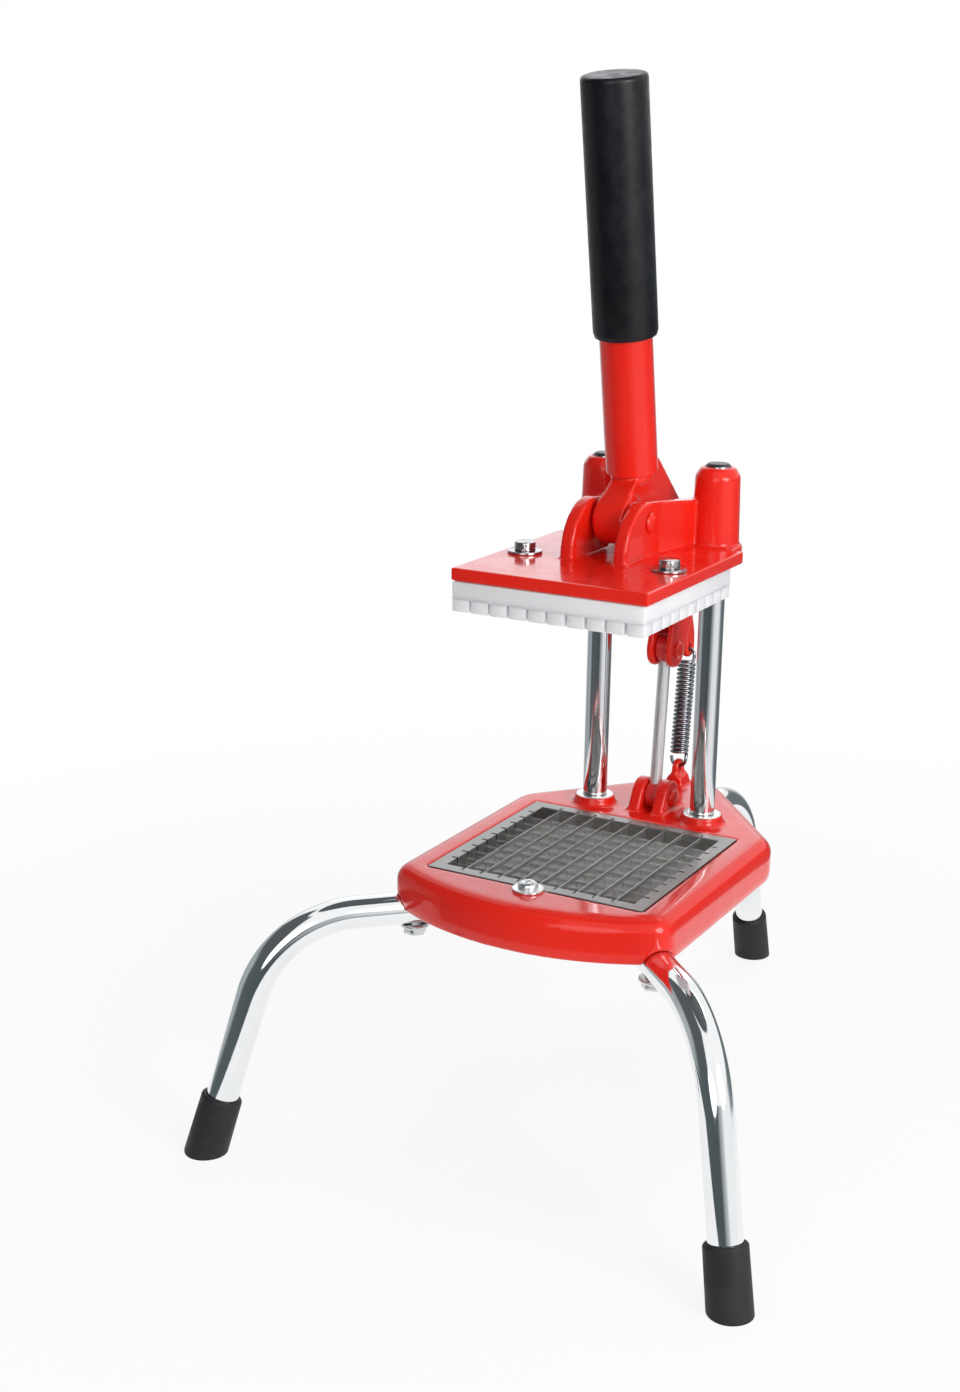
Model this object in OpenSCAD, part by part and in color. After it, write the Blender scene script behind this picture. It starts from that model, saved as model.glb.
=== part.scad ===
// Bench onion chopper on three bent tube legs.
// A head with a fingered pusher slides on two posts and is pulled down by a hand lever.
// Lengths are in millimetres. The origin lies on the floor, midway between the feet.

/* [Base] */
// Height of the deck above the floor
deck_z = 141; // [130:1:160]
// Depth of the skirt below the deck
skirt_h = 22; // [19:1:26]
// Width of the deck beside the blade frame
deck_side = 16; // [14:1:23]
// How far the front edge bulges beyond its corners
front_bulge = 23; // [16:1:30]
// Radius of the rounded upper edge
deck_edge_r = 8; // [5:1:9]

/* [Blades] */
// Spacing of the blades
blade_pitch = 10; // [9.6:0.1:10.2]
// Thickness of one blade
blade_t = 0.8; // [0.6:0.1:1.2]
// Depth of one blade
blade_h = 9.4; // [8:0.2:10]
// Width of the frame rails
rail_w = 7; // [6:0.5:8]

/* [Posts and head] */
// Diameter of the guide posts
post_d = 12.7; // [12:0.1:14]
// Half the distance between the posts
post_x = 30.8; // [30:0.2:34]
// Height of the underside of the head plate above the floor
head_z = 281; // [276:1:290]
// Thickness of the head plate
plate_t = 6.3; // [5:0.1:7]
// Outer radius of the guide sleeves
sleeve_r = 11.2; // [10.5:0.1:12.5]
// Depth of the pusher below the head plate
pusher_h = 14.2; // [13.6:0.2:17]

/* [Lever] */
// Lean of the raised handle towards the front
lever_lean = 10.6; // [4:0.2:14]
// Diameter of the handle tube
tube_d = 25.4; // [24:0.2:26]
// Length of the handle tube
tube_len = 183; // [150:1:220]
// Thickness of the grip round the tube
grip_wall = 2.8; // [1.8:0.1:4.3]
// Length of the grip
grip_len = 119; // [90:1:140]

/* [Link and spring] */
// Diameter of the link rod
link_d = 6.35; // [5.5:0.05:6.8]
// Wire diameter of the return spring
wire_d = 1.6; // [1.2:0.1:1.7]
// Mean radius of the spring coils
coil_r = 4.2; // [4:0.1:4.8]
// Number of spring coils
coil_count = 23; // [16:1:23]

/* [Legs] */
// Diameter of the leg tubes
leg_d = 15.9; // [14:0.1:16]
// Centre line radius of the leg bend
leg_bend_r = 53; // [45:1:56]
// Slope of the lower leg from the vertical
leg_splay = 16.8; // [12:0.2:20]
// Diameter of the rubber feet
foot_d = 21; // [19.5:0.5:24]

/* [Hidden] */
$fn = 64;
// Clearance of a running fit, on the radius
run_gap = 0.08;
// Clearance between faces that pass each other
pass_gap = 0.4;
// Clearance round a piece that is set in
seat_gap = 0.15;
// Overlap of cutting bodies
cut = 1;

// Blade grid
cells = 10;
grid_half = cells * blade_pitch / 2;
frame_half = grid_half + rail_w;
ledge_t = 2.6;
well_wall = 4;
blade_set = 3;
edge_h = 1.4;
lap_gap = 0.1;
long_top = deck_z - 0.4;
cross_top = long_top - 2.6;
lap_z = (long_top - blade_h + cross_top) / 2;
frame_z = cross_top - blade_h - 0.2;
frame_h = deck_z - frame_z;
screw_y = -(frame_half + 3.6);
washer_t = 1.4;
// Centre line of the posts behind the blade grid
post_y = frame_half + 16;

// Base plan, measured from the centre of the blade grid
skirt_z = deck_z - skirt_h;
base_half_w = frame_half + deck_side;
corner_y = -(frame_half + 5);
tip_y = post_y + 68;
deck_t = 5;
wall_t = 4;
corner_r = 12;
waist_r = 20;
tip_r = 25;
taper = 40;
front_r = (base_half_w * base_half_w + front_bulge * front_bulge) / (2 * front_bulge);
front_cy = corner_y - front_bulge + front_r;
corner_x = base_half_w - corner_r;
corner_cy = front_cy - sqrt((front_r - corner_r) * (front_r - corner_r) - corner_x * corner_x);
corner_turn = atan2(corner_cy - front_cy, corner_x);
waist_x = base_half_w - waist_r;
tip_cy = tip_y - tip_r;
waist_cy = tip_cy + (tip_r - waist_r - waist_x * cos(taper)) / sin(taper);

// Posts
boss_r = 10.4;
boss_h = 5;
post_foot_d = 9.4;
post_foot_z = deck_z - 19;
under_boss_z = deck_z - 12;
nut_h = 5;
nut_af = 15;
sleeve_top = head_z + 45;
post_top = sleeve_top + 1.6;

// Head
plate_half = grid_half + 0.5;
plate_front = 1 - grid_half;
plate_rear = post_y - 10.5;
plate_top = head_z + plate_t;
sleeve_neck = 4.5;
wall_in = 10.5;
wall_out = 17.5;
wall_round = 25;
wall_front = post_y - 76;
wall_rear = post_y + 7;
wall_top = plate_top + 27;
wall_fall = 6;
// The walls spread behind the pivot and run into the fronts of the sleeves
spread_y = wall_front + 38;
spread_turn = 234;
spread_end = [post_x, post_y] + (sleeve_r - 0.6) * [cos(spread_turn), sin(spread_turn)];
wall_t_rear = 8;
bolt_x = grid_half - 12;
bolt_y = 1;
finger_gap = blade_t + 0.7;
// Solid slab of the pusher above its fingers
slab_t = 8.2;
finger_h = pusher_h - slab_t;
pusher_edge = 0.5;

// Linkage in the side view, as [y, z]
pivot = [post_y - 49, head_z + 23];
fork_top = [post_y + 15, head_z - 55];
fork_low = [post_y + 9, deck_z + 6.4];
spring_hole = [post_y + 57, head_z - 64];
spring_ear = [post_y + 50.5, deck_z + 9.6];
pivot_d = 8;
link_pin_d = 6;
hub_r = 12;
arm_half = 7;
hub_half = 8;
slot_half = 3.4;
eye_half = slot_half - pass_gap;
eye_r = 6.6;
cheek_mid = (arm_half + slot_half) / 2;
arm_a = [post_y - 25, head_z + 38.7];
arm_b = [post_y + 32, head_z - 11.8];
arm_r = 13;
knuckle_r = 9.5;
tail_r = 7.5;
tube_foot = [post_y - 34.6, head_z + 45];
tube_wall = 2;
spigot_len = 30;
grip_d = tube_d + 2 * grip_wall;
fork_half = 10;
ear_half = 2;
ear_r = 5;
ear_foot = 5.5;
hook_hole_r = 2.4;
hook_gap = 0.9;

// Legs, in the plane of one leg, measured outwards
leg_z = skirt_z - 1;
leg_wall = 1.5;
leg_start = frame_half * sqrt(2) - 3.6;
leg_bend_s = leg_start + 43.3;
leg_bend_z = leg_z - leg_bend_r;
leg_turn = 90 - leg_splay;
leg_knee_s = leg_bend_s + leg_bend_r * cos(leg_splay);
leg_knee_z = leg_bend_z + leg_bend_r * sin(leg_splay);
leg_run = leg_knee_z / cos(leg_splay);
leg_foot_s = leg_knee_s + leg_run * sin(leg_splay);
foot_floor = 6;
foot_len = 30;
foot_round = 3;
saddle_w = 25;
bolt_s = leg_start + 13.5;
front_hub = [0, 7.5];
rear_hub = [0, post_y - 29];
foot_reach = foot_d / 2;
// The grid centre sits in front of the origin, so that the feet lie evenly about it
front_reach = leg_foot_s * cos(45) - front_hub[1] + foot_reach;
rear_reach = leg_foot_s + rear_hub[1] + foot_reach;
grid_y = (front_reach - rear_reach) / 2;

// Moves a shape from the grid centre to its place on the floor
module placed() {
    translate([0, grid_y, 0]) children();
}

// Raises a side view outline, drawn as (y, z), between two values of x
module across(x0, x1) {
    translate([x0, 0, 0]) rotate([90, 0, 90]) linear_extrude(x1 - x0) children();
}

// Round bar along x through a point of the side view
module cross_bar(p, r, x0, x1) {
    translate([x0, p[0], p[1]]) rotate([0, 90, 0]) cylinder(r = r, h = x1 - x0);
}

// Outline of two discs and the band that touches both
module limb(p, rp, q, rq) {
    sink = 0.03;
    way = q - p;
    aim = atan2(way[1], way[0]);
    side = acos((rp - rq) / norm(way));
    translate(p) circle(rp);
    translate(q) circle(rq);
    polygon([
        p + (rp - sink) * [cos(aim + side), sin(aim + side)],
        q + (rq - sink) * [cos(aim + side), sin(aim + side)],
        q + (rq - sink) * [cos(aim - side), sin(aim - side)],
        p + (rp - sink) * [cos(aim - side), sin(aim - side)]
    ]);
}

// Places a child along one leg: s outwards becomes x
module leg_frame(hub, turn) {
    translate([hub[0], hub[1], 0]) rotate([0, 0, turn]) children();
}

module each_leg_frame() {
    leg_frame(front_hub, -135) children();
    leg_frame(front_hub, -45) children();
    leg_frame(rear_hub, 90) children();
}

// Hexagon bolt head or nut with a chamfered rim
module hexagon(af, h) {
    intersection() {
        cylinder(d = af / cos(30), h = h, $fn = 6);
        cylinder(d1 = af / cos(30), d2 = af * 1.02, h = h * 1.001);
    }
}

// Points on an arc, each with its outward direction
function arc_run(c, r, a0, a1, n) =
    [for (k = [0:n]) let (a = a0 + (a1 - a0) * k / n) [c + r * [cos(a), sin(a)], [cos(a), sin(a)]]];

// Plan of the base: bulged front, straight sides, tapered back
front_run = arc_run([0, front_cy], front_r, -180 - corner_turn, corner_turn, 20);
plan_run = concat(
    [for (k = [1:19]) front_run[k]],
    arc_run([corner_x, corner_cy], corner_r, corner_turn, 0, 6),
    arc_run([waist_x, waist_cy], waist_r, 0, taper, 5),
    arc_run([0, tip_cy], tip_r, taper, 180 - taper, 12),
    arc_run([-waist_x, waist_cy], waist_r, 180 - taper, 180, 5),
    arc_run([-corner_x, corner_cy], corner_r, 180, 180 - corner_turn, 6)
);

function plan_at(inset) = [for (q = plan_run) q[0] - inset * q[1]];
function plan_ring(z, inset) = [for (p = plan_at(inset)) [p[0], p[1], z]];

// Solid through a stack of rings of equal length
module ring_stack(rings) {
    n = len(rings[0]);
    last = len(rings) - 1;
    polyhedron(
        [for (ring = rings) for (p = ring) p],
        concat(
            [[for (k = [0:n - 1]) k]],
            [[for (k = [n - 1:-1:0]) last * n + k]],
            [for (r = [0:last - 1]) for (k = [0:n - 1])
                [r * n + k, (r + 1) * n + k, (r + 1) * n + (k + 1) % n, r * n + (k + 1) % n]]
        )
    );
}

// Outside of the base, with a rounded upper edge and a slightly drawn-in lower edge
module base_outside() {
    ring_stack(concat(
        [plan_ring(skirt_z, 1), plan_ring(skirt_z + 4, 0)],
        [for (a = [0:15:90])
            plan_ring(deck_z - deck_edge_r + deck_edge_r * sin(a), deck_edge_r * (1 - cos(a)))]
    ));
}

module base_inside() {
    ring_stack([
        plan_ring(skirt_z - cut, wall_t),
        plan_ring(deck_z - deck_t - 4, wall_t + 0.6),
        plan_ring(deck_z - deck_t, wall_t + 4)
    ]);
}

// Block round the inner end of a leg tube
module saddle() {
    translate([leg_start - 5, -saddle_w / 2, skirt_z + 0.5])
        cube([leg_bend_s - leg_start, saddle_w, deck_z - deck_t - skirt_z + 1]);
}

module saddles() {
    intersection() {
        each_leg_frame() saddle();
        translate([0, 0, skirt_z + 0.5]) linear_extrude(skirt_h - 4) polygon(plan_at(2));
    }
}

module fork_profile() {
    limb(fork_low, 9, [fork_low[0], deck_z - 2], 13);
}

module ear_profile() {
    limb(spring_ear, ear_r, [spring_ear[0], deck_z - 2], 7);
}

// Foot that widens the spring ear towards the deck
module ear_lug() {
    low = deck_z - 3;
    top = spring_ear[1] - hook_hole_r - 0.6;
    flank = [[ear_foot, low], [ear_foot - 0.4, top - 4], [ear_half + 1.8, top - 1.3], [ear_half + 0.4, top]];
    translate([-cheek_mid, spring_ear[0] + ear_r + 1, 0]) rotate([90, 0, 0]) linear_extrude(2 * ear_r + 2)
        polygon(concat(flank, [for (k = [3:-1:0]) [-flank[k][0], flank[k][1]]]));
}

module base_solid() {
    difference() {
        base_outside();
        base_inside();
    }
    saddles();
    // Well that holds the blade frame
    translate([-frame_half - well_wall, -frame_half - well_wall, frame_z - ledge_t])
        cube([2 * (frame_half + well_wall), 2 * (frame_half + well_wall), frame_h + ledge_t - deck_edge_r + 4]);
    // Boss for the frame screw
    translate([0, screw_y, deck_z - 13]) cylinder(r = 6, h = 10);
    for (side = [-1, 1]) {
        translate([side * post_x, post_y, under_boss_z]) cylinder(r = boss_r + 2, h = deck_z - under_boss_z - 1);
        translate([side * post_x, post_y, deck_z - 1]) cylinder(r1 = boss_r + 1, r2 = boss_r, h = boss_h + 1);
    }
    intersection() {
        union() {
            across(slot_half, fork_half) fork_profile();
            across(-fork_half, -slot_half) fork_profile();
            across(-cheek_mid - ear_half, -cheek_mid + ear_half) ear_profile();
            ear_lug();
        }
        translate([-50, 0, deck_z - 2]) cube([100, 200, 60]);
    }
}

module base_casting() {
    color("red")
    placed()
    difference() {
        base_solid();
        // Recess of the frame and the drop opening below it
        translate([-frame_half - seat_gap, -frame_half - seat_gap, frame_z])
            cube([2 * (frame_half + seat_gap), 2 * (frame_half + seat_gap), frame_h + cut]);
        translate([-grid_half, -grid_half, skirt_z - cut]) cube([2 * grid_half, 2 * grid_half, skirt_h]);
        translate([0, screw_y, deck_z - 10]) cylinder(d = 5, h = 20);
        for (side = [-1, 1])
            translate([side * post_x, post_y, post_foot_z]) cylinder(d = post_foot_d + 2 * run_gap, h = 40);
        cross_bar(fork_low, link_pin_d / 2 + 0.02, -fork_half - cut, fork_half + cut);
        cross_bar(spring_ear, hook_hole_r, -cheek_mid - ear_half - cut, -cheek_mid + ear_half + cut);
        // Floor of the fork slot
        translate([-slot_half, fork_low[0] - 13, fork_low[1] - eye_r - pass_gap])
            cube([2 * slot_half, 26, 20]);
        each_leg_frame() {
            translate([leg_start, 0, leg_z]) rotate([0, 90, 0]) cylinder(d = leg_d + 2 * seat_gap, h = 60);
            translate([bolt_s, 0, leg_z]) cylinder(d = 6 + 2 * run_gap, h = deck_z - deck_t - leg_z + 1);
        }
    }
}

module blade_frame() {
    color("silver")
    placed()
    difference() {
        translate([-frame_half, -frame_half, frame_z]) cube([2 * frame_half, 2 * frame_half, frame_h]);
        translate([-grid_half, -grid_half, frame_z - cut]) cube([2 * grid_half, 2 * grid_half, frame_h + 2 * cut]);
        for (k = [1:cells - 1]) {
            at = k * blade_pitch - grid_half;
            slot_w = blade_t + 2 * lap_gap;
            reach = grid_half + blade_set;
            translate([at - slot_w / 2, -reach, long_top - blade_h]) cube([slot_w, 2 * reach, blade_h + cut]);
            translate([-reach, at - slot_w / 2, cross_top - blade_h]) cube([2 * reach, slot_w, blade_h + 4]);
        }
    }
}

// Section of a blade with a sharpened upper edge
module blade_section(top) {
    polygon([
        [-blade_t / 2, top - blade_h], [blade_t / 2, top - blade_h], [blade_t / 2, top - edge_h],
        [0.12, top], [-0.12, top], [-blade_t / 2, top - edge_h]
    ]);
}

module lengthwise_blades() {
    reach = grid_half + blade_set;
    notch = blade_t + 2 * lap_gap;
    color("gray")
    placed()
    for (k = [1:cells - 1])
        translate([k * blade_pitch - grid_half, 0, 0])
        difference() {
            translate([0, reach, 0]) rotate([90, 0, 0]) linear_extrude(2 * reach) blade_section(long_top);
            for (j = [1:cells - 1])
                translate([-2, j * blade_pitch - grid_half - notch / 2, long_top - blade_h - cut])
                    cube([4, notch, lap_z + lap_gap - long_top + blade_h + cut]);
        }
}

module crosswise_blades() {
    reach = grid_half + blade_set;
    notch = blade_t + 2 * lap_gap;
    color("gray")
    placed()
    for (k = [1:cells - 1])
        translate([0, k * blade_pitch - grid_half, 0])
        difference() {
            across(-reach, reach) blade_section(cross_top);
            for (j = [1:cells - 1])
                translate([j * blade_pitch - grid_half - notch / 2, -2, lap_z - lap_gap])
                    cube([notch, 4, blade_h]);
        }
}

module frame_washer() {
    color("silver")
    placed()
    translate([0, screw_y, deck_z])
    difference() {
        cylinder(d = 15, h = washer_t);
        translate([0, 0, -cut]) cylinder(d = 5.4, h = washer_t + 2 * cut);
    }
}

module frame_screw() {
    color("silver")
    placed()
    translate([0, screw_y, 0]) {
        translate([0, 0, deck_z + washer_t])
        difference() {
            rotate_extrude() polygon([[0, 0], [4.8, 0], [4.8, 1.2], [4.3, 2.3], [3.2, 3], [0, 3.2]]);
            for (turn = [0, 90])
                rotate([0, 0, turn]) translate([-2.6, -0.5, 1.6]) cube([5.2, 1, 4]);
        }
        translate([0, 0, deck_z - 9]) cylinder(d = 5 - 2 * run_gap, h = 9 + washer_t + 0.1);
    }
}

module post(side) {
    color("gainsboro")
    placed()
    translate([side * post_x, post_y, 0]) {
        translate([0, 0, deck_z + boss_h]) cylinder(d = post_d, h = post_top - deck_z - boss_h - 1.2);
        translate([0, 0, post_top - 1.2]) cylinder(d1 = post_d, d2 = post_d - 2.4, h = 1.2);
        translate([0, 0, post_foot_z]) cylinder(d = post_foot_d, h = deck_z + boss_h - post_foot_z + 0.1);
    }
}

module left_post() {
    post(-1);
}

module right_post() {
    post(1);
}

module post_nuts() {
    color("silver")
    placed()
    for (side = [-1, 1])
        translate([side * post_x, post_y, under_boss_z])
        mirror([0, 0, 1])
        difference() {
            hexagon(nut_af, nut_h);
            translate([0, 0, -cut]) cylinder(d = post_foot_d + 2 * run_gap, h = nut_h + 2 * cut);
        }
}

// Side view of one pivot wall, with a rounded front and a top that falls to the back
module wall_profile() {
    low = plate_top - 1;
    crown = wall_front + wall_round;
    intersection() {
        translate([crown, wall_top - wall_round]) circle(wall_round);
        translate([wall_front - cut, low]) square([wall_round + cut, 60]);
    }
    polygon([[crown, low], [wall_rear, low], [wall_rear, wall_top - wall_fall], [crown, wall_top]]);
}

// Plan of the right pivot wall: straight at the pivot, then out to the sleeve
module wall_plan() {
    rear_in = spread_end[0] - wall_t_rear;
    polygon([
        [wall_in, wall_front - cut], [wall_out, wall_front - cut], [wall_out, spread_y], spread_end,
        [post_x, post_y - 5], [post_x, post_y + 6], [rear_in, wall_rear], [rear_in, spread_end[1] + 3],
        [wall_in, spread_y]
    ]);
}

module head_solid() {
    translate([-plate_half, plate_front, head_z]) cube([2 * plate_half, plate_rear - plate_front, plate_t]);
    for (side = [-1, 1]) {
        translate([side * post_x, post_y, head_z]) {
            cylinder(r = sleeve_r + 2.4, h = plate_t);
            cylinder(r1 = sleeve_r + 1, r2 = sleeve_r, h = sleeve_top - head_z - sleeve_neck);
            translate([0, 0, sleeve_top - head_z - sleeve_neck])
                cylinder(r1 = sleeve_r, r2 = sleeve_r - 2.8, h = sleeve_neck);
        }
        // Plate carried back to the sleeve
        translate([side * post_x - sleeve_r - 2.4, plate_rear - 6, head_z])
            cube([2 * (sleeve_r + 2.4), post_y - plate_rear + 6, plate_t]);
    }
    intersection() {
        translate([0, 0, head_z]) linear_extrude(60) {
            wall_plan();
            mirror([1, 0]) wall_plan();
        }
        across(-post_x - cut, post_x + cut) wall_profile();
    }
}

module head_casting() {
    color("red")
    placed()
    difference() {
        head_solid();
        for (side = [-1, 1]) {
            translate([side * post_x, post_y, head_z - cut]) cylinder(d = post_d + 2 * run_gap, h = 60);
            translate([side * bolt_x, bolt_y, head_z - cut]) cylinder(d = 6 + 2 * run_gap, h = 20);
        }
        cross_bar(pivot, pivot_d / 2 + 0.02, -wall_out - cut, wall_out + cut);
    }
}

module pusher_block() {
    half = grid_half - blade_t / 2 - pusher_edge;
    color("white")
    placed()
    difference() {
        union() {
            translate([-plate_half + pusher_edge, plate_front + pusher_edge, head_z - pusher_h + finger_h])
                cube([2 * (plate_half - pusher_edge), 2 * (-plate_front - pusher_edge), pusher_h - finger_h]);
            translate([-half, -half, head_z - pusher_h]) cube([2 * half, 2 * half, pusher_h - 1]);
        }
        for (k = [1:cells - 1]) {
            at = k * blade_pitch - grid_half;
            translate([at - finger_gap / 2, -60, head_z - pusher_h - cut]) cube([finger_gap, 120, finger_h + cut]);
            translate([-60, at - finger_gap / 2, head_z - pusher_h - cut]) cube([120, finger_gap, finger_h + cut]);
        }
        for (side = [-1, 1])
            translate([side * bolt_x, bolt_y, head_z - 5]) cylinder(d = 6 + 2 * run_gap, h = 10);
    }
}

module pusher_washers() {
    color("silver")
    placed()
    for (side = [-1, 1])
        translate([side * bolt_x, bolt_y, plate_top])
        difference() {
            cylinder(d = 17, h = washer_t);
            translate([0, 0, -cut]) cylinder(d = 6.4, h = washer_t + 2 * cut);
        }
}

module pusher_bolts() {
    color("silver")
    placed()
    for (side = [-1, 1])
        translate([side * bolt_x, bolt_y, 0]) {
            translate([0, 0, plate_top + washer_t]) hexagon(10, 4.2);
            translate([0, 0, head_z - 4.8]) cylinder(d = 6, h = plate_top + washer_t - head_z + 4.9);
        }
}

module pivot_pin() {
    color("red")
    placed() {
        difference() {
            cross_bar(pivot, pivot_d / 2, -wall_out - 3.2, wall_out + 0.5);
            // Groove of the clip
            difference() {
                cross_bar(pivot, pivot_d / 2 + cut, -wall_out - 1, -wall_out);
                cross_bar(pivot, pivot_d / 2 - 0.8, -wall_out - 2, -wall_out + 1);
            }
        }
        translate([wall_out, pivot[0], pivot[1]]) rotate([0, 90, 0])
            rotate_extrude() polygon([[0, 0], [5.2, 0], [5, 0.8], [4, 1.6], [2.2, 2.2], [0, 2.4]]);
    }
}

module pivot_clip() {
    color("dimgray")
    placed()
    difference() {
        cross_bar(pivot, 6.6, -wall_out - 0.9, -wall_out);
        cross_bar(pivot, pivot_d / 2 - 0.75, -wall_out - 2, -wall_out + 1);
        translate([-wall_out - 2, pivot[0] - 1.6, pivot[1] - 10]) cube([4, 3.2, 10]);
    }
}

// Places a child on the handle axis, with z along the handle
module handle_frame() {
    translate([0, tube_foot[0], tube_foot[1]]) rotate([lever_lean, 0, 0]) children();
}

module arm_solid() {
    across(-arm_half, arm_half) {
        limb(pivot, hub_r, arm_a, arm_r);
        limb(arm_a, arm_r, arm_b, arm_r);
        limb(arm_b, arm_r, fork_top, knuckle_r);
        // Fillet in the bend of the arm
        limb(arm_a + 0.75 * (arm_b - arm_a), arm_r, arm_b + 0.3 * (fork_top - arm_b), arm_r - 1);
    }
    cross_bar(pivot, hub_r, -hub_half, hub_half);
    cross_bar(pivot, 8.5, -wall_in + 0.3, wall_in - 0.3);
    // The left cheek runs on to the spring hole
    across(-arm_half, -slot_half) {
        limb(arm_b, arm_r, spring_hole, tail_r);
        limb(fork_top, tail_r, spring_hole, tail_r);
        polygon([arm_b, fork_top, spring_hole]);
    }
}

module lever_arm() {
    color("red")
    placed() {
        difference() {
            arm_solid();
            handle_frame() cylinder(d = tube_d + 2 * seat_gap, h = 80);
            cross_bar(pivot, pivot_d / 2 + run_gap, -30, 30);
            cross_bar(fork_top, link_pin_d / 2 + 0.02, -30, 30);
            cross_bar(spring_hole, hook_hole_r, -30, 30);
            // Fork slot, open below and to the front
            translate([-slot_half, fork_top[0] - 30, fork_top[1] - 30]) cube([2 * slot_half, 42, 62]);
        }
        handle_frame() translate([0, 0, -4])
            cylinder(d = tube_d - 2 * tube_wall - 2 * run_gap, h = spigot_len + 4);
    }
}

module lever_tube() {
    color("red")
    placed()
    handle_frame()
    difference() {
        cylinder(d = tube_d, h = tube_len);
        translate([0, 0, -cut]) cylinder(d = tube_d - 2 * tube_wall, h = tube_len + 2 * cut);
    }
}

module lever_grip() {
    r = grip_d / 2;
    top = 3;
    bore = tube_d / 2 + run_gap;
    color("#202024")
    placed()
    handle_frame()
    translate([0, 0, tube_len + top])
    rotate_extrude()
    polygon(concat(
        [[0, 0]],
        [for (a = [90:-15:0]) [r - 2.5 + 2.5 * cos(a), -2.5 + 2.5 * sin(a)]],
        [[r, -grip_len + 1.5], [r - 0.6, -grip_len + 0.4], [r - 1.5, -grip_len]],
        [[bore, -grip_len], [bore, -top], [0, -top]]
    ));
}

// Two rivet heads, one on each cheek of the lever fork
module link_rivets() {
    color("red")
    placed()
    for (side = [0, 180])
        translate([0, fork_top[0], fork_top[1]]) rotate([0, 90, 0]) rotate([0, side, 0]) {
            translate([0, 0, slot_half]) cylinder(d = link_pin_d, h = arm_half - slot_half + 0.1);
            translate([0, 0, arm_half])
                rotate_extrude() polygon([[0, 0], [4.8, 0], [4.6, 0.8], [3.6, 1.7], [1.8, 2.2], [0, 2.3]]);
        }
}

module link_rod() {
    way = fork_top - fork_low;
    lean = atan2(way[0], way[1]);
    color("gainsboro")
    placed()
    difference() {
        union() {
            cross_bar(fork_low, eye_r, -eye_half, eye_half);
            cross_bar(fork_top, eye_r, -eye_half, eye_half);
            translate([0, fork_low[0], fork_low[1]]) rotate([-lean, 0, 0])
            intersection() {
                cylinder(d = link_d, h = norm(way));
                translate([-eye_half, -10, 0]) cube([2 * eye_half, 20, norm(way)]);
            }
            translate([0, fork_low[0], fork_low[1]]) rotate([-lean, 0, 0])
                translate([0, 0, 12]) cylinder(d = link_d, h = norm(way) - 27);
        }
        cross_bar(fork_low, link_pin_d / 2 + run_gap, -30, 30);
    }
}

module link_pin() {
    color("red")
    placed() {
        cross_bar(fork_low, link_pin_d / 2, -fork_half - 0.1, fork_half + 0.1);
        for (side = [0, 180])
            translate([0, fork_low[0], fork_low[1]]) rotate([0, 90, 0]) rotate([0, side, 0])
                translate([0, 0, fork_half])
                rotate_extrude() polygon([[0, 0], [4.8, 0], [4.6, 0.8], [3.6, 1.7], [1.8, 2.2], [0, 2.3]]);
    }
}

// Return spring: one wire from the lower hook through the coils to the upper hook.
// Local z runs along the spring, and the hooks lie in the x-z plane.
hook_low = spring_ear + [0, hook_hole_r - wire_d / 2 - hook_gap];
hook_top = spring_hole - [0, hook_hole_r - wire_d / 2 - hook_gap];
spring_way = hook_top - hook_low;
spring_len = norm(spring_way);
spring_lean = atan2(spring_way[0], spring_way[1]);
coil_start = coil_r + 2.6;
coil_pitch = (spring_len - 2 * coil_start) / coil_count;
coil_ease = 30;
hook_end = 80;

function hook_point(t) = [coil_r * sin(t), 0, coil_r - coil_r * cos(t)];
function coil_point(a) = [coil_r * cos(a), coil_r * sin(a), coil_start + coil_pitch * a / 360];
function bend_point(a, b, c, t) = (1 - t) * (1 - t) * a + 2 * t * (1 - t) * b + t * t * c;
function turned(p) = [p[0], -p[1], spring_len - p[2]];

hook_tail = hook_point(-hook_end) + wire_d * [-cos(hook_end), 0, sin(hook_end)];
low_hook = concat(
    [hook_tail],
    [for (k = [0:8]) hook_point(-hook_end + k * (90 + hook_end) / 8)],
    [for (t = [0.25, 0.5, 0.75])
        bend_point(hook_point(90), [coil_r, 0, coil_start], coil_point(coil_ease), t)]
);
coil_run = [for (k = [0:coil_count * 8]) let (a = k * 45)
    if (a >= 45 && a <= 360 * coil_count - 45) coil_point(a)];
high_hook = [for (k = [len(low_hook) - 1:-1:0]) turned(low_hook[k])];
wire_path = concat(low_hook, coil_run, high_hook);
wire_n = len(wire_path);

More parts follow.
